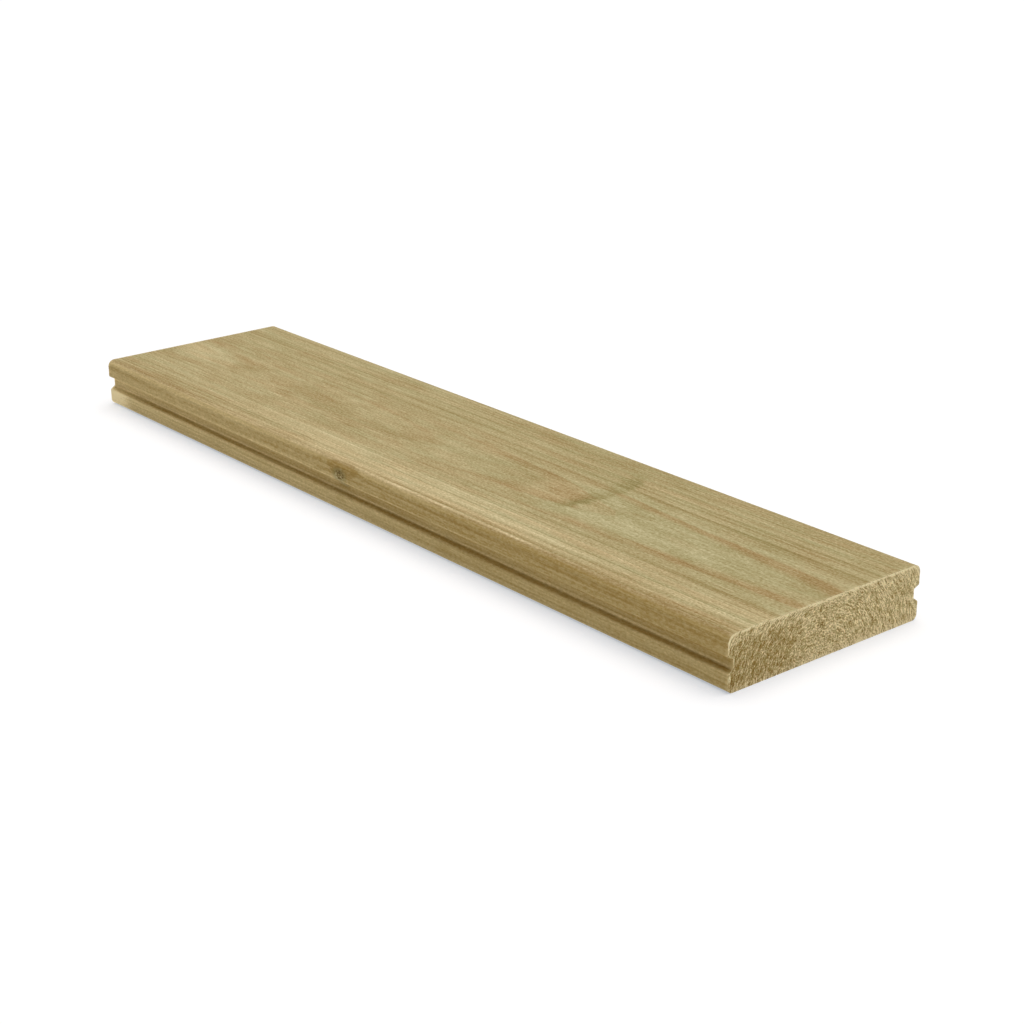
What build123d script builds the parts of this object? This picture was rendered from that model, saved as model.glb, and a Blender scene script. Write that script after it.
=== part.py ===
from build123d import *
import os
from math import radians, tan

# Grooved softwood decking plank: one board, planed on four sides and sawn square at both ends.
# +X runs along the grain, +Y across the width and +Z up out of the walking face.
# The origin is the centre of the underside. Lengths are in millimetres and angles in degrees.

# Board
LENGTH = 520.0
WIDTH = 120.0
THICKNESS = 27.0

# Eased long edges
TOP_EDGE_RADIUS = 4.0
BOTTOM_EDGE_RADIUS = 3.0

# Clip groove along both long edges, flared from its back wall out to its mouth
GROOVE_DEPTH = 3.3
GROOVE_BACK_HEIGHT = 4.5
GROOVE_ROOF_ANGLE = 24.5
GROOVE_FLOOR_ANGLE = 35.0
GROOVE_DROP = 0.25
GROOVE_MOUTH_RADIUS = 0.8
GROOVE_ROOT_RADIUS = 0.5

# The lower lip stands back a little, so that boards laid side by side meet at their upper lips
LOWER_LIP_SETBACK = 0.45

# An eased edge takes at most this share of the lip that it rounds
EASED_SHARE_OF_LIP = 0.5


def groove_heights():
    """Heights of the groove's mouth and back wall, from the top of the mouth downwards."""
    back_middle = THICKNESS / 2 - GROOVE_DROP
    back_top = back_middle + GROOVE_BACK_HEIGHT / 2
    back_bottom = back_middle - GROOVE_BACK_HEIGHT / 2
    floor_run = GROOVE_DEPTH - LOWER_LIP_SETBACK
    mouth_top = back_top + GROOVE_DEPTH * tan(radians(GROOVE_ROOF_ANGLE))
    mouth_bottom = back_bottom - floor_run * tan(radians(GROOVE_FLOOR_ANGLE))
    return mouth_top, back_top, back_bottom, mouth_bottom


def edge_corners():
    """Corners (y, z, radius) of the long edge at +Y, from the walking face down to the underside."""
    mouth_top, back_top, back_bottom, mouth_bottom = groove_heights()
    upper_lip_face = WIDTH / 2
    lower_lip_face = upper_lip_face - LOWER_LIP_SETBACK
    back_wall = upper_lip_face - GROOVE_DEPTH
    top_radius = min(TOP_EDGE_RADIUS, EASED_SHARE_OF_LIP * (THICKNESS - mouth_top))
    bottom_radius = min(BOTTOM_EDGE_RADIUS, EASED_SHARE_OF_LIP * mouth_bottom)
    return [
        (upper_lip_face, THICKNESS, top_radius),
        (upper_lip_face, mouth_top, GROOVE_MOUTH_RADIUS),
        (back_wall, back_top, GROOVE_ROOT_RADIUS),
        (back_wall, back_bottom, GROOVE_ROOT_RADIUS),
        (lower_lip_face, mouth_bottom, GROOVE_MOUTH_RADIUS),
        (lower_lip_face, 0.0, bottom_radius),
    ]


def make_plank():
    """The planed section, the same at both long edges, drawn along the grain."""
    near_edge = edge_corners()
    far_edge = [(-y, z, radius) for y, z, radius in reversed(near_edge)]
    corners = near_edge + far_edge
    points = [(y, z) for y, z, radius in corners]
    radii = [radius for y, z, radius in corners]
    with BuildPart() as board:
        with BuildSketch(Plane.YZ):
            with BuildLine():
                FilletPolyline(*points, radius=radii, close=True)
            make_face()
        extrude(amount=LENGTH / 2, both=True)
    board.part.label = "plank"
    return board.part


os.makedirs("parts", exist_ok=True)
export_step(make_plank(), "parts/plank.step")
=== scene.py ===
# %% [markdown]
# # A grooved decking plank
# The object is one short length of pressure-treated pine decking: a board planed on four sides, with a clip
# groove along both long edges and both ends left rough from the saw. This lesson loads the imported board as
# a fixed frame, sets up the camera and a plain studio, lofts the board's surface from its section with
# Geometry Nodes, and then paints it with wood that is worked out from the tree's growth rings.

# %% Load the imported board
from math import acos, atan2, cos, radians, sin, tan
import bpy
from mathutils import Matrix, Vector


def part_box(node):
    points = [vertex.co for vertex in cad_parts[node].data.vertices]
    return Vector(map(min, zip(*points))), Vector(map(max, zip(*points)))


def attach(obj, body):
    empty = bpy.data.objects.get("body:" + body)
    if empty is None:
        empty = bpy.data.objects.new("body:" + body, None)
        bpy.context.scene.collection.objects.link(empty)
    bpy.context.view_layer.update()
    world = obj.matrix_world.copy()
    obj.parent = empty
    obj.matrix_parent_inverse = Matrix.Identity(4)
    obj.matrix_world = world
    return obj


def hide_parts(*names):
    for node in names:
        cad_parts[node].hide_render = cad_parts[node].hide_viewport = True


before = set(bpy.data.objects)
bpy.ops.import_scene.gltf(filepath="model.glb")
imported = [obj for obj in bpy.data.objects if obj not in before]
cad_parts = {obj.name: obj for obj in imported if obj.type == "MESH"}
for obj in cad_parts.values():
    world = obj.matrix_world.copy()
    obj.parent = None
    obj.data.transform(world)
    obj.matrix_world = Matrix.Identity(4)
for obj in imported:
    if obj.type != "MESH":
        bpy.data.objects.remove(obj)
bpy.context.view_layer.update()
from types import SimpleNamespace

import bpy
from mathutils import Matrix, Vector

MM = 0.001
board_low, board_high = [Vector(corner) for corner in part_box("plank")]
board_size = board_high - board_low
print("board in the frame, mm:", [round(side / MM, 2) for side in board_size])

# %% [markdown]
# ## The camera
# The picture was taken from the near right, a little over twenty degrees above the table, with a moderate
# telephoto lens. A camera could be posed by eye, but the board's straight edges fix it well, so the values
# here are an orbit about a point near the middle of the board: a heading, a height, a distance and a small
# roll. Blender's camera looks along its own -Z, so its axes are built from the direction back to the eye.

# %% Place the camera
IMAGE_PIXELS = 1024
SENSOR_WIDTH = 36.0
FOCAL_PIXELS = 1994.8
CAMERA_HEADING = radians(50.84)
CAMERA_HEIGHT = radians(20.845)
CAMERA_ROLL = radians(-0.447)
CAMERA_DISTANCE = 984.8 * MM
CAMERA_TARGET = Vector((66.06, -15.51, 13.73)) * MM


def orbit_axes(heading, height, roll):
    """The right, up and back directions of a camera that orbits the board, rolled about its own axis."""
    back = Vector((sin(heading) * cos(height), -cos(heading) * cos(height), sin(height)))
    level_right = Vector((0, 0, 1)).cross(back).normalized()
    level_up = back.cross(level_right)
    right = level_right * cos(roll) + level_up * sin(roll)
    up = level_up * cos(roll) - level_right * sin(roll)
    return right, up, back


def place_camera():
    """Add the camera and make it the scene's own."""
    lens = bpy.data.cameras.new("photo_camera")
    lens.sensor_width = SENSOR_WIDTH
    lens.lens = FOCAL_PIXELS * SENSOR_WIDTH / IMAGE_PIXELS
    camera = bpy.data.objects.new("photo_camera", lens)
    right, up, back = orbit_axes(CAMERA_HEADING, CAMERA_HEIGHT, CAMERA_ROLL)
    turn = Matrix((right, up, back)).transposed().to_4x4()
    camera.matrix_world = Matrix.Translation(CAMERA_TARGET + back * CAMERA_DISTANCE) @ turn
    bpy.context.scene.collection.objects.link(camera)
    bpy.context.scene.camera = camera
    return camera


camera = place_camera()
print("lens, mm:", round(camera.data.lens, 2))

# %% [markdown]
# ## Numbers that flow through nodes
# Wood is easiest to describe with arithmetic: a distance from the heart of the tree, a phase within a ring.
# In Blender that arithmetic is a web of Math nodes, which is long to write out by hand. The small class here
# wraps a socket, so that `a * b + c` adds the nodes. The same nodes exist in Geometry Nodes and in shaders,
# so one formula can raise the grain on the mesh and also colour it.

# %% Arithmetic on sockets


def plug(tree, value, socket):
    """Wire a flowing number or a socket into a socket, or set a plain value on it."""
    if isinstance(value, Flow):
        value = value.socket
    if isinstance(value, bpy.types.NodeSocket):
        tree.links.new(value, socket)
    else:
        socket.default_value = value


def add_node(tree, kind, inputs=(), **settings):
    """Add a node with its settings, and fill the inputs given as (name or number, value) pairs."""
    node = tree.nodes.new(kind)
    for name, value in settings.items():
        setattr(node, name, value)
    for key, value in inputs:
        plug(tree, value, node.inputs[key])
    return node


class Flow:
    """A number that flows through a node tree. Arithmetic on it adds Math nodes."""

    def __init__(self, tree, socket):
        self.tree = tree
        self.socket = socket

    def apply(self, operation, *others):
        return calculate(self.tree, operation, self, *others)

    def __add__(self, other):
        return self.apply("ADD", other)

    def __sub__(self, other):
        return self.apply("SUBTRACT", other)

    def __rsub__(self, other):
        return calculate(self.tree, "SUBTRACT", other, self)

    def __mul__(self, other):
        return self.apply("MULTIPLY", other)

    def __truediv__(self, other):
        return self.apply("DIVIDE", other)

    def __pow__(self, other):
        return self.apply("POWER", other)

    def ramp(self, low, high):
        """0 below low and 1 above high, eased between; low may be above high to turn it round."""
        node = add_node(self.tree, "ShaderNodeMapRange", interpolation_type="SMOOTHSTEP")
        for name, value in (("Value", self), ("From Min", low), ("From Max", high)):
            plug(self.tree, value, node.inputs[name])
        return Flow(self.tree, node.outputs["Result"])

    def band(self, start, full, fading, end):
        """0 outside start and end and 1 from full to fading, eased between, in either direction."""
        return self.ramp(start, full) * self.ramp(end, fading)

    def clamped(self):
        """The number held between 0 and 1."""
        return self.apply("MAXIMUM", 0.0).apply("MINIMUM", 1.0)

    __radd__ = __add__
    __rmul__ = __mul__


def calculate(tree, operation, *values):
    """One Math node on plain or flowing numbers."""
    node = add_node(tree, "ShaderNodeMath", enumerate(values), operation=operation)
    return Flow(tree, node.outputs[0])


def between(start, end, amount):
    """A flowing number that goes from start to end as the amount goes from 0 to 1."""
    return start + (end - start) * amount


def spot(u, v, middle, half_size):
    """1 at the middle of an oval, easing to 0 at its rim. Places and sizes are in mm."""
    across = (u - middle[0]) / half_size[0]
    up = (v - middle[1]) / half_size[1]
    return (across * across + up * up).ramp(1.0, 0.0)


def millimetres(tree, position):
    """The x, y and z of a position socket as flowing numbers in millimetres."""
    split = add_node(tree, "ShaderNodeSeparateXYZ", [("Vector", position)])
    return [Flow(tree, split.outputs[axis]) / MM for axis in "XYZ"]


def noise(tree, x, y, z, detail=2.0, roughness=0.5):
    """Smooth noise about zero, from -1 to 1, with features about one unit across."""
    vector = add_node(tree, "ShaderNodeCombineXYZ", [("X", x), ("Y", y), ("Z", z)])
    settings = [("Vector", vector.outputs[0]), ("Scale", 1.0)]
    settings += [("Detail", detail), ("Roughness", roughness)]
    texture = add_node(tree, "ShaderNodeTexNoise", settings)
    return Flow(tree, texture.outputs[0]) * 2.0 - 1.0


print("flowing numbers ready")

# %% [markdown]
# ## A white table and soft light
# The board lies on a bright white table under a broad light, almost overhead and leaning a little to the
# back. The front edge sees little of that light: it is lit by the table, and so the groove, which can't see
# the table, goes dark. The light is a soft lobe in the world shader, because a world lights an endless
# table evenly and an area lamp would fall off. The table glows a little of itself, so that it renders white
# and keeps the soft shadow.

# %% Build the table and the sky
TABLE_SPREAD = 12.0
TABLE_REFLECTANCE = (0.665, 0.600, 0.530, 1.0)
TABLE_GLOW = (0.355, 0.415, 0.490, 1.0)
LIGHT_TILT = radians(11)
LIGHT_TURN = radians(105)
LIGHT_SHARPNESS = 6.0
LIGHT_AMBIENT = 0.03
LIGHT_LEAN = Vector((cos(LIGHT_TURN), sin(LIGHT_TURN), 0.0)) * sin(LIGHT_TILT)
LIGHT_FROM = LIGHT_LEAN + Vector((0.0, 0.0, cos(LIGHT_TILT)))
WHITE = (1.0, 1.0, 1.0, 1.0)

# A lobe of this strength lights a level white surface to exactly white
LIGHT_STRENGTH = (LIGHT_SHARPNESS + 2.0) / (2.0 * cos(LIGHT_TILT))


def make_table():
    """The white table under the board, which is not part of the object."""
    mesh = bpy.data.meshes.new("table")
    half = TABLE_SPREAD / 2
    corners = [(-half, -half, 0), (half, -half, 0), (half, half, 0), (-half, half, 0)]
    mesh.from_pydata(corners, [], [(0, 1, 2, 3)])
    table = bpy.data.objects.new("table", mesh)
    bpy.context.scene.collection.objects.link(table)
    paint = bpy.data.materials.new("white_table")
    paint.use_nodes = True
    tree = paint.node_tree
    tree.nodes.clear()
    diffuse = add_node(tree, "ShaderNodeBsdfDiffuse", [("Color", TABLE_REFLECTANCE)])
    glow = add_node(tree, "ShaderNodeEmission", [("Color", TABLE_GLOW), ("Strength", 1.0)])
    both = add_node(tree, "ShaderNodeAddShader", [(0, diffuse.outputs[0]), (1, glow.outputs[0])])
    add_node(tree, "ShaderNodeOutputMaterial", [("Surface", both.outputs[0])])
    mesh.materials.append(paint)
    return table


def make_sky():
    """A soft lobe of light from above, seen by the camera and in reflections as plain white."""
    world = bpy.data.worlds.new("studio_sky")
    bpy.context.scene.world = world
    world.use_nodes = True
    tree = world.node_tree
    tree.nodes.clear()
    direction = add_node(tree, "ShaderNodeTexCoord").outputs["Generated"]
    towards_light = [(0, direction), (1, LIGHT_FROM)]
    facing = add_node(tree, "ShaderNodeVectorMath", towards_light, operation="DOT_PRODUCT")
    lobe = Flow(tree, facing.outputs["Value"]).apply("MAXIMUM", 0.0) ** LIGHT_SHARPNESS
    strength = lobe * LIGHT_STRENGTH + LIGHT_AMBIENT
    light = add_node(tree, "ShaderNodeBackground", [("Strength", strength), ("Color", WHITE)])
    white = add_node(tree, "ShaderNodeBackground", [("Strength", 1.0), ("Color", WHITE)])
    path = add_node(tree, "ShaderNodeLightPath")
    seen = Flow(tree, path.outputs["Is Camera Ray"]) + Flow(tree, path.outputs["Is Glossy Ray"])
    seen = (seen + Flow(tree, path.outputs["Is Transmission Ray"])).apply("MINIMUM", 1.0)
    mix = add_node(tree, "ShaderNodeMixShader",
                   [(0, seen), (1, light.outputs[0]), (2, white.outputs[0])])
    add_node(tree, "ShaderNodeOutputWorld", [("Surface", mix.outputs[0])])


make_table()
make_sky()
bpy.context.scene.view_settings.view_transform = "Standard"
print("light comes from", [round(part, 2) for part in LIGHT_FROM])

# %% [markdown]
# ## The board's section
# A moulding machine planes the board and cuts its grooves in one pass, so every slice of it is the same. The
# section is drawn here as two half outlines, one over the top and one under the bottom, from the middle of
# one groove to the middle of the other. Both halves have the same number of points, so that the sawn ends
# can later be filled by joining each upper point to its lower partner.

# %% Draw the section
TOP_EDGE_RADIUS = 4.0 * MM
BOTTOM_EDGE_RADIUS = 3.0 * MM
GROOVE_DEPTH = 3.3 * MM
GROOVE_BACK_HEIGHT = 4.5 * MM
GROOVE_ROOF_ANGLE = radians(24.5)
GROOVE_FLOOR_ANGLE = radians(35.0)
GROOVE_DROP = 0.25 * MM
GROOVE_MOUTH_RADIUS = 0.8 * MM
GROOVE_ROOT_RADIUS = 0.5 * MM
LOWER_LIP_SETBACK = 0.45 * MM

WALL_STEPS, SLOPE_STEPS, LIP_STEPS, FLAT_STEPS = 3, 4, 7, 140
ROOT_STEPS, MOUTH_STEPS, EDGE_STEPS = 2, 3, 8

half_width = board_size.y / 2
thickness = board_size.z
groove_back = half_width - GROOVE_DEPTH
groove_middle = thickness / 2 - GROOVE_DROP


def rounded_corner(before, corner, after, radius, steps):
    """Points of the arc that rounds a corner, from the run before it to the run after it."""
    to_before = (before - corner).normalized()
    to_after = (after - corner).normalized()
    half_angle = acos(to_before.dot(to_after)) / 2
    centre = corner + (to_before + to_after).normalized() * (radius / sin(half_angle))
    reach = radius / tan(half_angle)
    first = corner + to_before * reach - centre
    last = corner + to_after * reach - centre
    sweep = atan2(first.x * last.y - first.y * last.x, first.dot(last))
    turns = [sweep * step / steps for step in range(steps + 1)]
    return [centre + Matrix.Rotation(turn, 2) @ first for turn in turns]


def half_outline(lip_face, back_end, mouth, far_face, edge_radius):
    """Points from the left groove's middle to the right one's, round one half of the section."""
    left = [
        (Vector((-groove_back, groove_middle)), 0.0, 0),
        (Vector((-groove_back, back_end)), GROOVE_ROOT_RADIUS, ROOT_STEPS),
        (Vector((-lip_face, mouth)), GROOVE_MOUTH_RADIUS, MOUTH_STEPS),
        (Vector((-lip_face, far_face)), edge_radius, EDGE_STEPS),
    ]
    right = [(Vector((-corner.x, corner.y)), radius, steps) for corner, radius, steps in reversed(left)]
    corners = left + right
    run_steps = [WALL_STEPS, SLOPE_STEPS, LIP_STEPS, FLAT_STEPS, LIP_STEPS, SLOPE_STEPS, WALL_STEPS]
    points = [corners[0][0]]
    for index, run in enumerate(run_steps, start=1):
        corner, radius, steps = corners[index]
        arc = [corner]
        if radius:
            arc = rounded_corner(corners[index - 1][0], corner, corners[index + 1][0], radius, steps)
        start = points[-1]
        points += [start.lerp(arc[0], step / run) for step in range(1, run + 1)]
        points += arc[1:]
    return points


def section_outline():
    """The closed section, up and over from the left groove and back underneath, with its spine places."""
    back_top = groove_middle + GROOVE_BACK_HEIGHT / 2
    back_bottom = groove_middle - GROOVE_BACK_HEIGHT / 2
    roof = back_top + GROOVE_DEPTH * tan(GROOVE_ROOF_ANGLE)
    floor = back_bottom - (GROOVE_DEPTH - LOWER_LIP_SETBACK) * tan(GROOVE_FLOOR_ANGLE)
    upper = half_outline(half_width, back_top, roof, thickness, TOP_EDGE_RADIUS)
    lower = half_outline(half_width - LOWER_LIP_SETBACK, back_bottom, floor, 0.0, BOTTOM_EDGE_RADIUS)
    spine_end = half_width - thickness / 2
    spine = [max(-spine_end, min(spine_end, (a.x + b.x) / 2)) for a, b in zip(upper, lower)]
    outline = upper + lower[-2:0:-1]
    return outline, spine + spine[-2:0:-1]


outline, spine = section_outline()
print("section points:", len(outline))

# %% [markdown]
# ## Growth rings
# A board is a flat cut through a stack of cones: each year the tree adds a ring, pale while it grows fast
# in spring and dark and dense by autumn. The heart of this tree ran below the board, dropping towards the
# near end. So one number, the years of growth between the heart and a point, gives straight lines towards
# the edges of the walking face and long arches along its middle. No tree is quite even: here the heart
# sways, some rings lag behind, one arch bulges, and the rings swell round a small branch that left by the
# front edge. A picture of wood could be laid on instead, but it wouldn't run on round the edges.

# %% Count the years of growth
# Lengths from here on are in millimetres, as the nodes read them
HEART_SIDE = -2.0
HEART_BELOW = 24.6
HEART_SLOPE = 0.0347
HEART_BEND = 0.00004375
HEART_SWAY = 1.4
OUTER_RISE = 5.51
TAPER_REACH = (32.0, 9.0)
NEAR_TAPER, NEAR_TAPER_FROM = 13.0, (-100.0, 60.0)
RING_WIDTH = 3.95
WANDER, RIPPLE = 0.4, 0.2
BACK_LAG, BACK_LAG_BAND = 1.35, (18.0, 36.0, 48.0, 60.0)
FRONT_LAG, FRONT_LAG_BAND = 0.95, (-16.0, -25.0, -28.0, -36.0)
ARCH_BULGE, ARCH_BULGE_OVAL = 0.7, ((52.0, 13.0), (62.0, 11.0))
KNOT = Vector((-18.8, -60.0, 20.4))
KNOT_LEAN = 0.8
KNOT_STRETCH = 1.6
KNOT_SWELL, KNOT_REACH = 3.2, (17.0, 2.0)


def from_heart(x, y, z):
    """How far a point lies across from the tree's heart, and above it, in mm."""
    across = y - HEART_SIDE
    straight, arched = TAPER_REACH
    arch_reach = x.ramp(*NEAR_TAPER_FROM) * NEAR_TAPER + arched
    tapering = across.apply("ABSOLUTE").ramp(straight, arch_reach)
    rise = between(OUTER_RISE, x * (HEART_SLOPE - x * HEART_BEND), tapering)
    return across + tapering * HEART_SWAY, z + HEART_BELOW + rise


def knot_distance(x, y, z):
    """Distance in mm from the axis of the branch that comes out of the front edge."""
    along = (x - KNOT.x) / KNOT_STRETCH
    up = z - KNOT.z + (y - KNOT.y) * KNOT_LEAN
    return (along * along + up * up) ** 0.5


def growth_years(tree, x, y, z):
    """Years of growth from the heart to a point, with the slow wander that real rings have."""
    across, above = from_heart(x, y, z)
    distance = (across * across + above * above) ** 0.5
    wander = noise(tree, x / 110.0 + 2.0, y / 38.0, z / 38.0, detail=1.0) * WANDER
    ripple = noise(tree, x / 45.0 + 7.0, y / 11.0, z / 11.0, detail=1.0) * RIPPLE
    swell = knot_distance(x, y, z).ramp(*KNOT_REACH) * KNOT_SWELL
    bulge = spot(x, y, *ARCH_BULGE_OVAL) * ARCH_BULGE
    lag = across.band(*BACK_LAG_BAND) * BACK_LAG + across.band(*FRONT_LAG_BAND) * FRONT_LAG
    return (distance + wander + ripple - swell - bulge - lag) / RING_WIDTH


print("rings per thickness:", round(thickness / MM / RING_WIDTH, 1))

# %% [markdown]
# ## What the tools left on the wood
# A planer cuts cleanly across rings that stand steep to it. Where it skims along one ring, in the middle of
# the walking face, it tears the soft spring wood into pale crumbs. A cross-cut saw leaves the ends rough, in
# short strokes that follow the tight rings round the pith, which lies just under the board. These two
# patterns are worked out here once, because the mesh needs them for its relief and the timber needs them
# for its colour.

# %% Work out torn wood and saw strokes
TOP_FACE = (24.0, 26.5)
SKIM_REACH = (34.0, 13.0)
TORN_FROM = (55.0, 114.0)
SPRING_WOOD = (0.80, 0.45)
CRUMB_LENGTH, CRUMB_WIDTH = 1.7, 1.2
PITH_SIDE, PITH_SIDE_DRIFT = -1.0, -0.0115
PITH_UP, PITH_UP_DRIFT = -10.0, 0.0077
PITH_WANDER = 1.5
STROKE_WIDTH = 0.60
STROKE_LENGTH = 3.0
STROKE_RADIUS = 45.0


def skimming(y):
    """1 over the heart, where a flat face runs along the rings, and 0 where it cuts across them."""
    return (y - HEART_SIDE).apply("ABSOLUTE").ramp(*SKIM_REACH)


def torn_wood(x, y, z, years):
    """How far the planer tore the spring wood of the walking face, from 0 to 1."""
    spring = years.apply("FRACT").ramp(*SPRING_WOOD)
    return skimming(y) * spring * x.ramp(*TORN_FROM) * z.ramp(*TOP_FACE)


def crumbs(tree, x, y, z):
    """The crumbly pattern of torn spring wood."""
    return noise(tree, x / CRUMB_LENGTH, y / CRUMB_WIDTH, z / CRUMB_WIDTH, detail=2.0, roughness=0.7)


def round_pith(tree, x, y, z):
    """Distance in mm from the pith, where the rings of a sawn end begin, and the turn round it."""
    across = y - PITH_SIDE - x * PITH_SIDE_DRIFT
    above = z - PITH_UP - x * PITH_UP_DRIFT
    wander = noise(tree, y / 9.0, z / 9.0, x / 50.0, detail=1.0) * PITH_WANDER
    return (across * across + above * above) ** 0.5 + wander, across.apply("ARCTAN2", above)


def saw_strokes(tree, x, distance, turn):
    """Short strokes along the small rings round the pith, as a saw leaves them on end grain."""
    along = turn * (STROKE_RADIUS / STROKE_LENGTH)
    return noise(tree, distance / STROKE_WIDTH, along, x / 50.0, detail=2.0, roughness=0.6)


print("stroke size, mm:", STROKE_LENGTH, "by", STROKE_WIDTH)

# %% [markdown]
# ## Relief
# Planed wood isn't quite smooth: hard autumn wood stands a little proud of soft spring wood, torn crumbs lie
# lower, a knot swells, and a sawn end is rough enough to feel. A bump map would only shade these. Here
# the mesh itself is pushed in and out by fractions of a millimetre, most of all on the sawn ends, so that
# the outline and the model's mesh have them too.

# %% Work out the relief
GRAIN_RELIEF = 0.05
TORN_RELIEF = 0.10
KNOT_RELIEF = 0.15
END_RELIEF = 0.50
AUTUMN_SHARPNESS = 3.0
KNOT_BOSS, KNOT_HOLLOW = (3.0, 1.8), (4.5, 3.0)
RIM_HOLD, RIM_HOLD_REACH = 0.3, (0.0, 0.12)
END_SKIN = (-0.1, -0.05)


def planed_relief(tree, given, x, y, z):
    """Height in mm of raised grain, torn wood and the knot on the planed faces."""
    years = growth_years(tree, x, y, z)
    raised = years.apply("FRACT") ** AUTUMN_SHARPNESS - 1.0
    fibres = noise(tree, x / 14.0, y / 1.1, z / 1.1) - 1.0
    grain = (raised + fibres * 0.5) * Flow(tree, given["Grain Relief"])
    sunk = crumbs(tree, x, y, z) - 1.0
    torn = torn_wood(x, y, z, years) * sunk * Flow(tree, given["Torn Relief"])
    knot = knot_distance(x, y, z)
    boss = (knot.ramp(*KNOT_BOSS) - knot.ramp(*KNOT_HOLLOW) * 0.7) * Flow(tree, given["Knot Relief"])
    return grain + torn + boss


def sawn_relief(tree, given, x, y, z):
    """Height in mm of the saw's roughness on the ends, held back along their rims."""
    rough = noise(tree, y / 1.5, z / 1.5, x, detail=3.0, roughness=0.7)
    sawn = saw_strokes(tree, x, *round_pith(tree, x, y, z)) * 0.7 + rough * 0.8 - 0.7
    inward = add_node(tree, "GeometryNodeInputNamedAttribute", [("Name", "inward")], data_type="FLOAT")
    held = Flow(tree, inward.outputs[0]).ramp(*RIM_HOLD_REACH) * (1.0 - RIM_HOLD) + RIM_HOLD
    return sawn * held * Flow(tree, given["End Relief"])


def add_relief(tree, given):
    """The offset of each point: along its normal on planed faces, and along the board on the ends."""
    place = add_node(tree, "GeometryNodeInputPosition").outputs[0]
    normal = add_node(tree, "GeometryNodeInputNormal").outputs[0]
    x, y, z = millimetres(tree, place)
    half_length = Flow(tree, given["Length"]) * (0.5 / MM)
    at_end = (x.apply("ABSOLUTE") - half_length).ramp(*END_SKIN)
    outward = planed_relief(tree, given, x, y, z) * (1.0 - at_end) * MM
    endward = sawn_relief(tree, given, x, y, z) * at_end * x.apply("SIGN") * MM
    lifted = add_node(tree, "ShaderNodeVectorMath", [(0, normal), ("Scale", outward)], operation="SCALE")
    pushed = add_node(tree, "ShaderNodeCombineXYZ", [("X", endward)])
    both = [(0, lifted.outputs[0]), (1, pushed.outputs[0])]
    return add_node(tree, "ShaderNodeVectorMath", both, operation="ADD").outputs[0]


print("relief of the planed faces and the ends, mm:", GRAIN_RELIEF, "and", END_RELIEF)

# %% [markdown]
# ## Lofting the board
# The board's shape follows a rule: one section, repeated along a line, and closed at both ends. It could be
# extruded and subdivided, but the ends need a fine mesh of their own for the saw's roughness. So Geometry
# Nodes take a plain grid and place each of its points by rule. Rows in the middle of the grid run along the
# board, and the first and last rows walk inwards over the sawn ends to a spine, where they are merged shut.
# Then the relief pushes the surface in and out.

# %% Build the lofting tree
STEPS_ALONG = 190
END_ROWS = 24
MERGE_DISTANCE = 0.001 * MM
TREE_INPUTS = [
    ("Length", "NodeSocketFloat"),
    ("Thickness", "NodeSocketFloat"),
    ("Section Points", "NodeSocketInt"),
    ("Steps Along", "NodeSocketInt"),
    ("End Rows", "NodeSocketInt"),
    ("Grain Relief", "NodeSocketFloat"),
    ("Torn Relief", "NodeSocketFloat"),
    ("Knot Relief", "NodeSocketFloat"),
    ("End Relief", "NodeSocketFloat"),
    ("Material", "NodeSocketMaterial"),
]


def section_object():
    """A mesh that holds only the section's points, with each one's place on the spine."""
    mesh = bpy.data.meshes.new("section")
    mesh.from_pydata([(0.0, point.x, point.y) for point in outline], [], [])
    places = mesh.attributes.new("spine", "FLOAT", "POINT")
    places.data.foreach_set("value", spine)
    board = bpy.data.objects.new("plank_timber", mesh)
    bpy.context.scene.collection.objects.link(board)
    return board


def sample_section(tree, geometry, value, column, kind):
    """A value of the section's points, read at the grid's columns."""
    node = add_node(tree, "GeometryNodeSampleIndex", data_type=kind, domain="POINT")
    for name, source in (("Geometry", geometry), ("Value", value), ("Index", column)):
        plug(tree, source, node.inputs[name])
    return node.outputs[0]


def loft_places(tree, given):
    """How far inwards over a sawn end each point of the grid lies, and its place on the board."""
    points = Flow(tree, given["Section Points"])
    steps = Flow(tree, given["Steps Along"])
    rows = Flow(tree, given["End Rows"])
    index = Flow(tree, add_node(tree, "GeometryNodeInputIndex").outputs[0])
    station = ((index + 0.5) / (points + 1.0)).apply("FLOOR")
    column = (index - station * (points + 1.0)).apply("MODULO", points)
    along = ((station - rows) / steps).clamped()
    inward = (rows - station).apply("MAXIMUM", station - rows - steps).apply("MAXIMUM", 0.0) / rows

    place = add_node(tree, "GeometryNodeInputPosition").outputs[0]
    on_spine = add_node(tree, "GeometryNodeInputNamedAttribute", [("Name", "spine")], data_type="FLOAT")
    edge = sample_section(tree, given["Geometry"], place, column, "FLOAT_VECTOR")
    spine_y = sample_section(tree, given["Geometry"], on_spine.outputs[0], column, "FLOAT")
    corner = add_node(tree, "ShaderNodeSeparateXYZ", [("Vector", edge)])
    loft_x = Flow(tree, given["Length"]) * (along - 0.5)
    loft_y = between(Flow(tree, corner.outputs["Y"]), Flow(tree, spine_y), inward)
    loft_z = between(Flow(tree, corner.outputs["Z"]), Flow(tree, given["Thickness"]) * 0.5, inward)
    lofted = add_node(tree, "ShaderNodeCombineXYZ", [("X", loft_x), ("Y", loft_y), ("Z", loft_z)])
    return inward, lofted.outputs[0]


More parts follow.
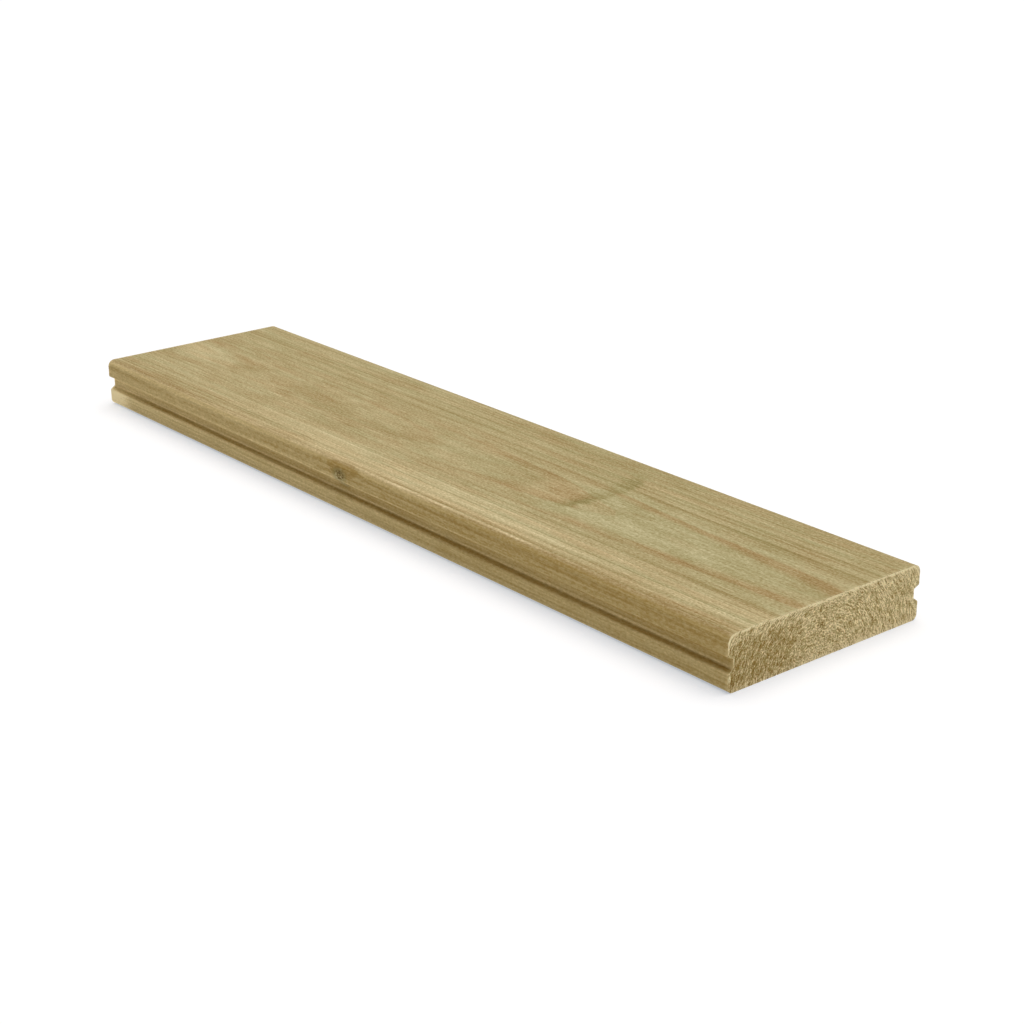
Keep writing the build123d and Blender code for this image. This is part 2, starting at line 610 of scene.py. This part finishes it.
def loft_tree():
    """Geometry Nodes that loft the section along the board, fill its ends and raise its grain."""
    tree = bpy.data.node_groups.new("loft_the_board", "GeometryNodeTree")
    tree.interface.new_socket(name="Geometry", in_out="INPUT", socket_type="NodeSocketGeometry")
    identifiers = {}
    for name, kind in TREE_INPUTS:
        socket = tree.interface.new_socket(name=name, in_out="INPUT", socket_type=kind)
        identifiers[name] = socket.identifier
    tree.interface.new_socket(name="Geometry", in_out="OUTPUT", socket_type="NodeSocketGeometry")
    given = add_node(tree, "NodeGroupInput").outputs

    # A grid with one column for each section point, and one more to close the loop
    columns = Flow(tree, given["Section Points"]) + 1.0
    stations = Flow(tree, given["Steps Along"]) + Flow(tree, given["End Rows"]) * 2.0 + 1.0
    grid = add_node(tree, "GeometryNodeMeshGrid", [("Vertices X", stations), ("Vertices Y", columns)])
    inward, lofted = loft_places(tree, given)
    marked = add_node(tree, "GeometryNodeStoreNamedAttribute",
                      [("Geometry", grid.outputs["Mesh"]), ("Name", "inward"), ("Value", inward)],
                      data_type="FLOAT", domain="POINT")
    shaped = add_node(tree, "GeometryNodeSetPosition",
                      [("Geometry", marked.outputs[0]), ("Position", lofted)])
    closed = add_node(tree, "GeometryNodeMergeByDistance",
                      [("Geometry", shaped.outputs[0]), ("Distance", MERGE_DISTANCE)])
    raised = add_node(tree, "GeometryNodeSetPosition",
                      [("Geometry", closed.outputs[0]), ("Offset", add_relief(tree, given))])
    real = add_node(tree, "GeometryNodeRealizeInstances", [("Geometry", raised.outputs[0])])
    painted = add_node(tree, "GeometryNodeSetMaterial",
                       [("Geometry", real.outputs[0]), ("Material", given["Material"])])
    add_node(tree, "NodeGroupOutput", [("Geometry", painted.outputs[0])])
    return tree, identifiers


lofting, loft_inputs = loft_tree()
print("lofting tree nodes:", len(lofting.nodes))

# %% [markdown]
# ## Colour as depth of stain
# The board was pressure treated, which stains pale pine an olive tan. Stained wood behaves like tinted
# glass: through twice the depth of stain, every colour channel is squared. So the timber needs only a few
# hues and one flowing number, the depth. Torn fibres lie below 1 and are pale, autumn wood lies above 1,
# and a knot is near 1.6. A Gamma node raises the hue to that power, which keeps dark wood rich where plain
# darkening would turn it grey.

# %% Mix the hues
OLIVE_TAN = (0.438, 0.377, 0.193, 1.0)
WARM_BROWN = (0.428, 0.316, 0.150, 1.0)
# The edges' warmer tan is the tone of the shaded front edge, painted in
EDGE_TAN = (0.520, 0.385, 0.158, 1.0)
KNOT_GREY = (0.460, 0.375, 0.172, 1.0)
END_TAN = (0.566, 0.452, 0.206, 1.0)
END_BROWN = (0.562, 0.420, 0.184, 1.0)
PALE_POWER = 0.35
PALE_GAIN = 0.55


def blend(tree, amount, under, over):
    """Lay one colour over another in a flowing amount."""
    mix = add_node(tree, "ShaderNodeMix", [(0, amount), (6, under), (7, over)], data_type="RGBA")
    return mix.outputs[2]


def stained(tree, hue, depth):
    """A hue seen through a depth of stain: deeper above 1, and paler below it."""
    pale = (1.0 - depth).clamped()
    power = depth.apply("MAXIMUM", 1.0) - pale * PALE_POWER
    deep = add_node(tree, "ShaderNodeGamma", [("Color", hue), ("Gamma", power)])
    gain = [(0, deep.outputs[0]), ("Scale", 1.0 + pale * PALE_GAIN)]
    return add_node(tree, "ShaderNodeVectorMath", gain, operation="SCALE").outputs[0]


print("walking face at a depth of 1:", OLIVE_TAN[:3])

# %% [markdown]
# ## The grain of the planed faces
# Towards the long edges of the walking face the rings show as thin dark lines. Over the heart, where the
# planer skims along them, they widen into soft brown bands. Fibres, threads and flecks a fraction of a
# millimetre wide run between them, under broad clouds of stain. Each of these is a noise stretched along
# the grain, and a weighted sum of them gives the depth of stain. The patterns read the point's place on the
# board, so they also run on over the underside.

# %% Stain the grain
PLANED_DEPTH, PLANED_BROWN = 1.05, 0.52
LINE_SHARPNESS = 2.6
AUTUMN_PART, SPRING_PART = (0.58, 0.90), (0.24, 0.0)

# Depth of stain that each pattern adds at its strongest
LINE_DEPTH, STREAK_DEPTH, FIBRE_DEPTH, THREAD_DEPTH = 0.30, 0.42, 0.38, 0.16
FLECK_DEPTH, CLOUD_DEPTH, BLOTCH_DEPTH, CRUMB_DEPTH = 0.85, 0.26, 0.24, 0.46


def ring_lines(tree, years):
    """Lines that darken to the autumn edge of each ring, more in some years than in others."""
    year = years.apply("FLOOR")
    luck = add_node(tree, "ShaderNodeTexWhiteNoise", [("W", year)], noise_dimensions="1D")
    strength = Flow(tree, luck.outputs["Value"]) * 0.5 + 0.7
    return years.apply("FRACT") ** LINE_SHARPNESS * strength


def ragged_years(tree, x, y, z, years, fibres, streaks):
    """The years of growth, with edges as ragged as the planer leaves them."""
    ragged = noise(tree, x / 22.0, y / 2.6, z / 2.6 + 4.0, detail=3.0) * skimming(y)
    return years + fibres * 0.05 + streaks * 0.08 + ragged * 0.20


def speckle(tree, x, y, z, torn):
    """Depth of stain of the small flecks, the clouds, the blotches over the heart and the torn crumbs."""
    flecks = noise(tree, x / 1.6, y / 0.9, z / 0.9, detail=2.0, roughness=0.7)
    clouds = noise(tree, x / 60.0, y / 11.0, z / 11.0, detail=3.0)
    blotches = noise(tree, x / 15.0, y / 5.0, z / 5.0, detail=3.0) * skimming(y)
    depth = flecks * (FLECK_DEPTH - torn * 0.25) + clouds * CLOUD_DEPTH
    depth = depth + blotches * (BLOTCH_DEPTH - torn * 0.08)
    return depth + crumbs(tree, x, y, z) * torn * CRUMB_DEPTH + torn * 0.02


def stain_grain(tree, x, y, z, years, fibres, torn, past_scar):
    """Depth of stain and brownness that the grain gives to a planed face."""
    skim = skimming(y)
    streaks = noise(tree, x / 300.0, y / 1.5, z / 1.5, detail=2.0, roughness=0.6)
    fuzzy = ragged_years(tree, x, y, z, years, fibres, streaks)
    late = fuzzy.apply("FRACT")

    # Lines break up along their length, and are boldest towards the near end and the front
    broken = noise(tree, x / 60.0, y / 5.0, z / 5.0 + 8.0).ramp(-0.8, 0.2) * 0.5 + 0.5
    bold_front = y.ramp(-34.0, -44.0) * x.ramp(-40.0, 120.0)
    bold = x.ramp(-120.0, 150.0) * 0.45 + 0.55 + bold_front * 0.30
    soft_end = 1.0 - late.ramp(0.90, 1.0) * skim * 0.6
    lines = ring_lines(tree, fuzzy) * broken * bold * soft_end * (1.0 - past_scar * 0.8)
    depth = PLANED_DEPTH + lines * (LINE_DEPTH - skim * 0.07)

    # Fine stripes that run with the grain
    threads = noise(tree, x / 240.0, y / 1.1, z / 1.1 + 6.0, detail=1.0).ramp(0.12, 0.42)
    threads = threads * (1.0 - skim) * (x.ramp(-200.0, 60.0) * 0.5 + 0.5)
    far_front = y.ramp(-38.0, -50.0) * x.ramp(0.0, -120.0)
    depth = depth + fibres * FIBRE_DEPTH + threads * THREAD_DEPTH
    depth = depth + streaks * (STREAK_DEPTH - skim * 0.20 + far_front * 0.40)

    # Brown bands of autumn wood over the heart, wider towards the near end
    band = late.ramp(*AUTUMN_PART) + late.ramp(*SPRING_PART) * x.ramp(150.0, 190.0)
    brown_band = band * skim * (x.ramp(-80.0, 140.0) * 0.28 + 0.18) * (1.0 - past_scar)
    depth = depth + brown_band * x.ramp(60.0, 160.0) * 0.15 + speckle(tree, x, y, z, torn)
    tint = noise(tree, x / 34.0 + 3.0, y / 7.0, z / 7.0, detail=3.0)
    brown = PLANED_BROWN + tint * 0.75 + brown_band - torn * 0.55 - lines * (1.0 - skim) * 0.5
    return depth, brown + skim * x.ramp(200.0, 245.0) * 0.16


print("depth of stain that a ring line adds:", LINE_DEPTH)

# %% [markdown]
# ## The marks of this one board
# No two boards carry the same marks. On this walking face an arch in the rings ends in a brown tip against
# a dark scar across the grain, a pale band runs along the front, a highlight is painted along the front
# corner in places, and the far end is paler. They could be painted on a picture by hand. A few ovals, bands
# and one circle at known places do the same, and stay sharp at any distance.

# %% Stain the marks
SCAR_CENTRE = (44.0, 12.0)
SCAR_RADIUS = 63.0

# Bands in mm, each as the places where it starts, is full, begins to fade and ends. The scar's two widths
# are measured outwards from its circle, the painted highlight's reach along the board, and the others across
# it.
SMUDGE_WIDTH, TIP_WIDTH = (-12.0, -1.0, -0.5, 4.0), (-5.0, -0.5, 0.2, 2.2)
SMUDGE_REACH, TIP_REACH = (-19.0, -9.0, 36.0, 48.0), (-13.0, -6.0, 9.0, 16.0)
FAINT_MIDDLE = (8.0, 14.0, 21.0, 27.0)
# The front corner's painted highlight: its reach along the board, then the bands across it of the highlight
# and of the dark crease behind it
HIGHLIGHT_REACH = (-50.0, 30.0, 120.0, 190.0)
HIGHLIGHT_BAND, CREASE_BAND = (-55.6, -56.4, -57.0, -58.0), (-54.0, -55.0, -55.4, -56.3)

# Ovals on the walking face, each as its middle and its half size, in mm along and across the board
FAR_PALE = ((-232.0, -4.0), (40.0, 19.0))
DAMP = ((-60.0, -11.0), (75.0, 6.0))
INSIDE_ARCH = ((25.0, -3.0), (60.0, 16.0))
UPPER_ARM = ((55.0, 11.0), (48.0, 4.5))
ARCH_TIP = ((88.0, -1.5), (26.0, 15.0))
PAST_SCAR = ((119.0, -2.0), (20.0, 12.0))


def scar_mark(tree, x, y, z):
    """A dark crescent across the grain at the end of an arch: a patchy smudge with a crisper lower tip."""
    across = x - SCAR_CENTRE[0]
    up = y - SCAR_CENTRE[1]
    ragged = noise(tree, x / 14.0, y / 1.8, 3.0) * 5.0 + noise(tree, x / 30.0, y / 7.0, 1.0) * 4.0
    off_line = (across * across + up * up) ** 0.5 - SCAR_RADIUS + ragged
    reach = y.band(*SMUDGE_REACH) * x.ramp(60.0, 80.0)
    faint_middle = 1.0 - y.band(*FAINT_MIDDLE) * 0.25
    patchy = noise(tree, x / 14.0, y / 7.0, 9.0).ramp(-0.5, 0.4) * 0.6 + 0.4
    smudge = off_line.band(*SMUDGE_WIDTH) * reach * faint_middle * patchy
    off_tip = off_line - ragged * 0.75
    tip = off_tip.band(*TIP_WIDTH) * y.band(*TIP_REACH)
    return (smudge + tip * 0.12) * z.ramp(*TOP_FACE)


def beyond_scar(x, y, z):
    """1 in the torn wood just beyond the scar, where the arch has ended."""
    return spot(x, y, *PAST_SCAR).ramp(0.0, 0.45) * x.ramp(101.0, 105.0) * z.ramp(*TOP_FACE)


def highlit_corner(tree, x, y):
    """Depth of stain along the front corner: a painted highlight in places where its round begins, with a
    dark crease behind it.
    """
    highlit_places = noise(tree, x / 45.0, 2.0, 6.0, detail=3.0).ramp(-0.5, 0.2)
    highlit_places = highlit_places * x.band(*HIGHLIGHT_REACH)
    # Painted highlight: a pale line where the front corner starts to round over
    highlight = y.band(*HIGHLIGHT_BAND) * highlit_places
    crease = y.band(*CREASE_BAND) * highlit_places
    return crease * 0.12 - highlight * 0.55


def stain_marks(tree, x, y, z, past_scar):
    """Depth of stain and brownness that the marks and the front corner's painted highlight add to the
    walking face.
    """
    on_top = z.ramp(*TOP_FACE)
    scar = scar_mark(tree, x, y, z)
    arch_tip = spot(x, y, *ARCH_TIP).ramp(0.0, 0.7) * x.ramp(104.0, 99.0) * on_top
    front_band = y.ramp(-28.0, -39.0) * (x.ramp(-250.0, -40.0) * 0.8 + 0.2) * on_top
    rolled_off = y.ramp(-44.0, -54.0) * x.ramp(20.0, 140.0)
    ovals = spot(x, y, *UPPER_ARM) * 0.14 + spot(x, y, *DAMP) * 0.08 - spot(x, y, *FAR_PALE) * 0.22
    # The front corner's painted highlight comes in with the marks
    depth = scar * 0.47 - arch_tip * 0.12 + ovals * on_top + highlit_corner(tree, x, y)
    depth = depth - front_band * (0.26 - rolled_off * 0.21) + y.ramp(-53.5, -57.5) * 0.04
    brown = arch_tip * 0.18 - scar * 0.95 - spot(x, y, *INSIDE_ARCH) * on_top * 0.30
    brown = brown + front_band * 0.15 + y.ramp(-50.0, -57.0) * 0.45 - past_scar * 0.10
    return depth, brown


def stain_planed(tree, x, y, z, years, fibres, torn):
    """Depth of stain and brownness, from 0 to 1, of the planed faces."""
    past_scar = beyond_scar(x, y, z)
    grain_depth, grain_brown = stain_grain(tree, x, y, z, years, fibres, torn, past_scar)
    mark_depth, mark_brown = stain_marks(tree, x, y, z, past_scar)
    return grain_depth + mark_depth, (grain_brown + mark_brown).clamped()


print("scar radius, mm:", SCAR_RADIUS)

# %% [markdown]
# ## The long edges
# The moulded edges are streaked along the grain. The front edge lies in shade, and its warmer hue is the
# tone of that shade, painted in; the lit back edge leans to the walking face's hue and is stained deeper.
# Painted shade darkens the groove's floor, and painted light lifts its root, its back wall and its far end,
# which lies open to the light, as well as both mouths and the lower lip. The top corner is darkened against
# the light it catches, and turns paler towards the far end. The far end of the lower lip is paler, and the
# front edge carries the knot, with a dark hump of grain that bends over the corner above it. The groove's
# shape casts its own shadow under this painted shade and light.

# %% Stain the edges
EDGE_DEPTH = 1.06
EDGE_DRIFT = 1700.0
FRONT_SIDE, BACK_SIDE = (-50.0, -56.0), (0.0, 40.0)
IN_GROOVE = (59.2, 58.5)
FAR_GROOVE = (-205.0, -255.0)
PALE_LIP_FROM, PALE_LIP_BELOW = (-228.0, -248.0), (10.5, 8.5)

# Heights in mm above the underside, where each painted shade or light sets in and is full, or as the four
# places of a band
LOWER_LIP, GROOVE_WALL, TOP_CORNER = (10.0, 9.0), (12.2, 13.2), (23.0, 25.0)
LOWER_MOUTH, UPPER_MOUTH = (8.2, 8.8, 9.2, 9.6), (15.8, 16.6, 17.4, 18.2)
GROOVE_FLOOR, GROOVE_ROOT = (9.3, 9.9, 10.4, 11.0), (10.3, 10.9, 11.0, 12.2)

# Distances in mm from the knot's axis where each of its effects sets in and is full
KNOT_HALO, KNOT_CORE = (6.5, 2.5), (2.9, 1.9)
KNOT_GREYED, KNOT_POLISHED = (5.0, 2.5), (4.0, 2.0)

# Ovals on the front edge, each as its middle and its half size, in mm along and up the board
BELOW_KNOT = ((-19.0, 7.4), (6.0, 2.4))
FAR_LIP = ((-262.0, 5.0), (36.0, 9.0))
KNOT_HUMP = ((-16.0, 24.0), (17.0, 4.6))


def groove_shade_and_light(x, y, z):
    """Painted shade and light in the groove: shade on its floor, and light on its root, its back wall and
    its far end.
    """
    in_groove = y.apply("ABSOLUTE").ramp(*IN_GROOVE)
    # Painted shade on the floor, less of it at the open far end where light comes in, and painted light on
    # the root, the back wall and the far end
    at_far = x.ramp(*FAR_GROOVE)
    root = z.band(*GROOVE_ROOT)
    wall = z.ramp(*GROOVE_WALL) * (x.ramp(0.0, -200.0) * 0.16 + 0.06)
    floor = z.band(*GROOVE_FLOOR) * (0.30 - at_far * 0.45)
    return in_groove * (floor - root * 0.46 - wall - at_far * 0.12)


def lip_shade_and_light(x, z):
    """Painted light on the lower lip and the mouths, and painted shade on the top corner, paler at the far
    end.
    """
    # Painted shade on the top corner against the light it catches, fading to paler towards the far end
    top_corner = z.ramp(*TOP_CORNER) * (0.06 - x.ramp(20.0, -150.0) * 0.24)
    # Painted light on both mouths and, in the return, on the lower lip, against the shade they lie in
    mouth = z.band(*LOWER_MOUTH) * 0.15 + z.band(*UPPER_MOUTH) * 0.34
    return top_corner - z.ramp(*LOWER_LIP) * 0.20 - mouth


def stain_knot(tree, x, y, z):
    """Depth of stain of the knot, of the halo round it and of a patch on the lip below it."""
    knot = knot_distance(x, y, z)
    crumbly = noise(tree, x / 1.6, y / 1.2, z / 1.0, detail=3.0) * 4.6 + 0.62
    halo = knot.ramp(*KNOT_HALO) + spot(x, z, *BELOW_KNOT) * y.ramp(*FRONT_SIDE)
    return knot.ramp(*KNOT_CORE) * crumbly * 0.66 + halo * 0.18


def knot_hump(x, y, z, fibres):
    """The dark hump of grain that bends round the top of the knot, over the corner of the board."""
    hump = spot(x, z, *KNOT_HUMP) + fibres * 0.30
    return hump.ramp(0.05, 0.60) * y.ramp(-56.4, -57.8)


def stain_edge(tree, x, y, z, years, fibres):
    """Depth of stain of the moulded long edges, with the painted shade and light of the groove and the lips.
    """
    streaks = noise(tree, x / 200.0, y / 6.0, z / 1.5, detail=3.0, roughness=0.6)
    flecks = noise(tree, x / 2.0, y / 0.9, z / 0.9, detail=2.0, roughness=0.7)
    # Paler towards the far end of the lower lip
    pale_lip = (spot(x, z, *FAR_LIP) + streaks * 0.35) * y.ramp(*FRONT_SIDE)
    pale_lip = pale_lip.apply("MAXIMUM", 0.0) * x.ramp(*PALE_LIP_FROM) * z.ramp(*PALE_LIP_BELOW)
    depth = EDGE_DEPTH + x / EDGE_DRIFT + streaks * 0.62 + fibres * 0.34 + flecks * 0.60
    # The lit back edge is stained deeper, painted shade against the light it gets
    depth = depth + ring_lines(tree, years + fibres * 0.10) * 0.16 + y.ramp(*BACK_SIDE) * 0.14
    depth = depth + stain_knot(tree, x, y, z) - pale_lip * 0.80
    # The groove and the lips add their painted shade and light
    return depth + groove_shade_and_light(x, y, z) + lip_shade_and_light(x, z)


print("edge drift over the board:", round(board_size.x / MM / EDGE_DRIFT, 2))

# %% [markdown]
# ## The sawn ends
# An end is end grain: the saw opens every fibre, so it shows speckles, pits and short strokes round the
# pith, with a pale frayed rim where fibres broke away along the corners. Each end could have a material of
# its own. Instead the lofting nodes stored how far inwards each point lies, and one material reads that
# number to know where the planed faces stop and the end begins.

# %% Stain the ends
END_DEPTH = 0.66
END_RING_WIDTH = 5.5
RIM_REACH = (0.14, 0.03)

# Depth of stain that each pattern of the end adds at its strongest
STROKE_DEPTH, SPECK_DEPTH, PIT_DEPTH = 2.5, 2.3, 1.8
PATCH_DEPTH, END_LINE_DEPTH = 0.40, 0.40

# Ovals on the end, each as its middle and its half size, in mm across and up the board
DARK_HEART = ((-4.0, 15.2), (3.2, 2.2))
PALE_HEART = ((2.5, 12.2), (6.0, 2.6))
DRYING_CRACK = ((-4.2, 22.5), (0.6, 3.5))

# Where the end turns darker or paler, in mm across the board or up it
DARKER_FRONT, DARKER_LOW = (-8.0, -32.0), (26.0, 17.0)
PALER_TOP, PALER_BOTTOM, PALER_BACK = (19.0, 25.0), (4.5, 1.5), (5.0, 35.0)


def stain_end(tree, x, y, z, strokes, rings, inward):
    """Depth of stain of the rough sawn ends."""
    specks = noise(tree, y / 0.72, z / 0.72, x / 9.0, detail=2.0, roughness=0.7)
    pits = noise(tree, y / 1.0, z / 1.0, x / 9.0 + 5.0).ramp(0.25, 0.60)
    patches = noise(tree, y / 5.0, z / 4.0, x / 9.0 + 2.0, detail=1.0)
    depth = END_DEPTH + strokes * STROKE_DEPTH + specks * SPECK_DEPTH + pits * PIT_DEPTH
    depth = depth + patches * PATCH_DEPTH + ring_lines(tree, rings) * END_LINE_DEPTH

    # Broad tones: darker low at the front, paler along the top, the bottom and the back
    darker_low_front = y.ramp(*DARKER_FRONT) * z.ramp(*DARKER_LOW)
    paler_margins = z.ramp(*PALER_TOP) * 0.14 + z.ramp(*PALER_BOTTOM) * 0.30 + y.ramp(*PALER_BACK) * 0.06
    rim = inward.ramp(*RIM_REACH) * (z.ramp(4.0, 25.0) * 0.7 + 0.3) * (0.85 + specks * 1.6)
    depth = depth + darker_low_front * 0.46 - paler_margins - rim * 0.82
    depth = depth + spot(y, z, *DARK_HEART) * (specks * 2.4 + 0.9)
    return depth - spot(y, z, *PALE_HEART) * 0.40 + spot(y, z, *DRYING_CRACK) * 0.9


def end_hue(tree, x, y, z):
    """Mottled hue of the sawn ends, browner towards the underside."""
    mottle = noise(tree, y / 2.6, z / 2.6, x / 20.0).ramp(-0.4, 0.6) + z.ramp(6.0, 2.0) * 0.5
    return blend(tree, mottle.apply("MINIMUM", 1.0), END_TAN, END_BROWN)


print("rings on the end, mm apart:", END_RING_WIDTH)

# %% [markdown]
# ## The timber
# One material now brings the stains together. It works out where a point lies, takes the planed stain,
# lays the edge's stain over it near the long edges and the end's stain over both on the sawn ends. A bump
# adds the fibres that are too fine for the mesh. The wood is unsealed, so it is rough and barely shines.

# %% Bring the timber together
GRAIN_BUMP, GRAIN_BUMP_STRENGTH = 0.22 * MM, 0.7
END_BUMP = 2.4
ROUGHNESS = 0.82
SHINE = 0.25
FRAY_FROM = (257.8, 259.8)
ON_END = (0.0, 0.004)
EDGE_FROM, EDGE_TOP, EDGE_FOOT = (54.0, 56.5), (26.95, 25.0), (0.05, 1.0)


def read_place(tree):
    """Where a point lies on the board, and the patterns there that several stains share."""
    here = SimpleNamespace()
    x, y, z = millimetres(tree, add_node(tree, "ShaderNodeTexCoord").outputs["Object"])
    here.x, here.y, here.z = x, y, z
    here.inward = Flow(tree, add_node(tree, "ShaderNodeAttribute", attribute_name="inward").outputs["Fac"])
    here.years = growth_years(tree, x, y, z)
    here.fibres = noise(tree, x / 18.0, y / 1.0, z / 1.0, detail=3.0, roughness=0.65)
    here.torn = torn_wood(x, y, z, here.years)
    here.pith_distance, pith_turn = round_pith(tree, x, y, z)
    here.strokes = saw_strokes(tree, x, here.pith_distance, pith_turn)
    here.on_end = here.inward.ramp(*ON_END)
    here.on_edge = y.apply("ABSOLUTE").ramp(*EDGE_FROM) * z.ramp(*EDGE_TOP) * z.ramp(*EDGE_FOOT)
    return here


def timber_colour(tree, here):
    """The stained colour of the planed faces, the edges and the ends."""
    x, y, z = here.x, here.y, here.z
    planed_depth, brown = stain_planed(tree, x, y, z, here.years, here.fibres, here.torn)
    depth = between(planed_depth, stain_edge(tree, x, y, z, here.years, here.fibres), here.on_edge)
    depth = depth + knot_hump(x, y, z, here.fibres) * 0.30
    frayed = x.apply("ABSOLUTE").ramp(*FRAY_FROM) * (noise(tree, y / 1.6, z / 1.6, 2.0) * 0.8 + 0.7)
    rings = here.pith_distance / END_RING_WIDTH
    end_depth = stain_end(tree, x, y, z, here.strokes, rings, here.inward)
    depth = between(depth - frayed * 0.32, end_depth, here.on_end)

    planed_hue = blend(tree, brown, OLIVE_TAN, WARM_BROWN)
    # Painted shade tone: the shaded front edge keeps the warmer tan, and the lit back edge leans to the
    # walking face's hue
    edge_hue = blend(tree, y.ramp(*BACK_SIDE) * 0.75, EDGE_TAN, OLIVE_TAN)
    edge_hue = blend(tree, knot_distance(x, y, z).ramp(*KNOT_GREYED), edge_hue, KNOT_GREY)
    hue = blend(tree, here.on_edge, planed_hue, edge_hue)
    return stained(tree, blend(tree, here.on_end, hue, end_hue(tree, x, y, z)), depth)


def timber_bump(tree, here):
    """The fibres and splinters that are too fine for the mesh, as a bent normal."""
    x, y, z = here.x, here.y, here.z
    autumn = here.years.apply("FRACT") ** AUTUMN_SHARPNESS
    grain = here.fibres * 0.5 + autumn * 0.3 + crumbs(tree, x, y, z) * here.torn * 0.9
    splinters = here.strokes + noise(tree, y / 0.6, z / 0.6, x / 9.0) * 0.8
    height = between(grain, splinters * END_BUMP, here.on_end)
    settings = [("Height", height), ("Distance", GRAIN_BUMP), ("Strength", GRAIN_BUMP_STRENGTH)]
    return add_node(tree, "ShaderNodeBump", settings).outputs[0]


def timber_material():
    """Stained pine that reads its place on the board, and how far in it lies on a sawn end."""
    paint = bpy.data.materials.new("treated_pine")
    paint.use_nodes = True
    tree = paint.node_tree
    tree.nodes.clear()
    here = read_place(tree)
    polished_knot = knot_distance(here.x, here.y, here.z).ramp(*KNOT_POLISHED)
    roughness = ROUGHNESS + here.fibres * 0.08 - polished_knot * 0.2
    surface = add_node(tree, "ShaderNodeBsdfPrincipled", [("Base Color", timber_colour(tree, here)),
                                                          ("Roughness", roughness),
                                                          ("Normal", timber_bump(tree, here)),
                                                          ("Specular IOR Level", SHINE)])
    add_node(tree, "ShaderNodeOutputMaterial", [("Surface", surface.outputs[0])])
    return paint


timber = timber_material()
print("timber nodes:", len(timber.node_tree.nodes))

# %% [markdown]
# ## From nodes to a plain mesh
# The modifier now runs once with this board's sizes. Its result is copied to a plain mesh, because a model
# that leaves Blender can't take a node tree with it. The faces are shaded smooth, so that the rounded edges
# look round, except across sharp corners such as the one between a planed face and a sawn end.

# %% Loft the board
SHARP_ANGLE = radians(50)


def loft_board():
    """Run the lofting tree once and keep its result as the plank's own mesh."""
    board = section_object()
    loft = board.modifiers.new("loft", "NODES")
    loft.node_group = lofting
    values = {
        "Length": board_size.x,
        "Thickness": thickness,
        "Section Points": len(outline),
        "Steps Along": STEPS_ALONG,
        "End Rows": END_ROWS,
        "Grain Relief": GRAIN_RELIEF,
        "Torn Relief": TORN_RELIEF,
        "Knot Relief": KNOT_RELIEF,
        "End Relief": END_RELIEF,
        "Material": timber,
    }
    for name, value in values.items():
        loft[loft_inputs[name]] = value
    graph = bpy.context.evaluated_depsgraph_get()
    mesh = bpy.data.meshes.new_from_object(board.evaluated_get(graph))
    board.modifiers.remove(loft)
    board.data = mesh
    mesh.shade_smooth()
    mesh.set_sharp_from_angle(angle=SHARP_ANGLE)
    return board


plank = loft_board()
plank.data.calc_loop_triangles()
print("plank triangles:", len(plank.data.loop_triangles))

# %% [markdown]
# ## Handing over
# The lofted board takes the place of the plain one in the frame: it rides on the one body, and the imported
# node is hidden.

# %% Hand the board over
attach(plank, "root")
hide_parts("plank")
